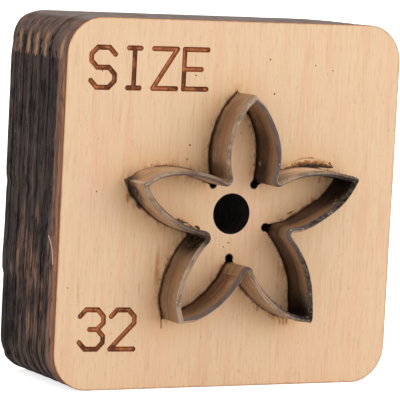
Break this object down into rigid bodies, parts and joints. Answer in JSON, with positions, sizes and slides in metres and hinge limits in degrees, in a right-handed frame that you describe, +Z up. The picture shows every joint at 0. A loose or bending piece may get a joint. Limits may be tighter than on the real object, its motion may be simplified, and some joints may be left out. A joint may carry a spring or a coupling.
{
  "type": "steel rule die",
  "caption": "Plywood die board with a bent steel cutting rule that stamps a flower out of leather, felt or card.",
  "frame": {"origin": "centre of the die's box at the board's lower edge, on which it stands", "axes": "+X to the right as seen from the cutting edge, -Y the way the cutting edge faces, +Z up the board"},
  "size_m": [0.05, 0.0238, 0.049],
  "materials": {
    "plywood": "bare face, laser-charred sides",
    "rule_steel": "tempered, oiled"
  },
  "bodies": {
    "root": {"die_board": "plywood", "cutting_rule": "rule_steel"}
  },
  "joints": []
}
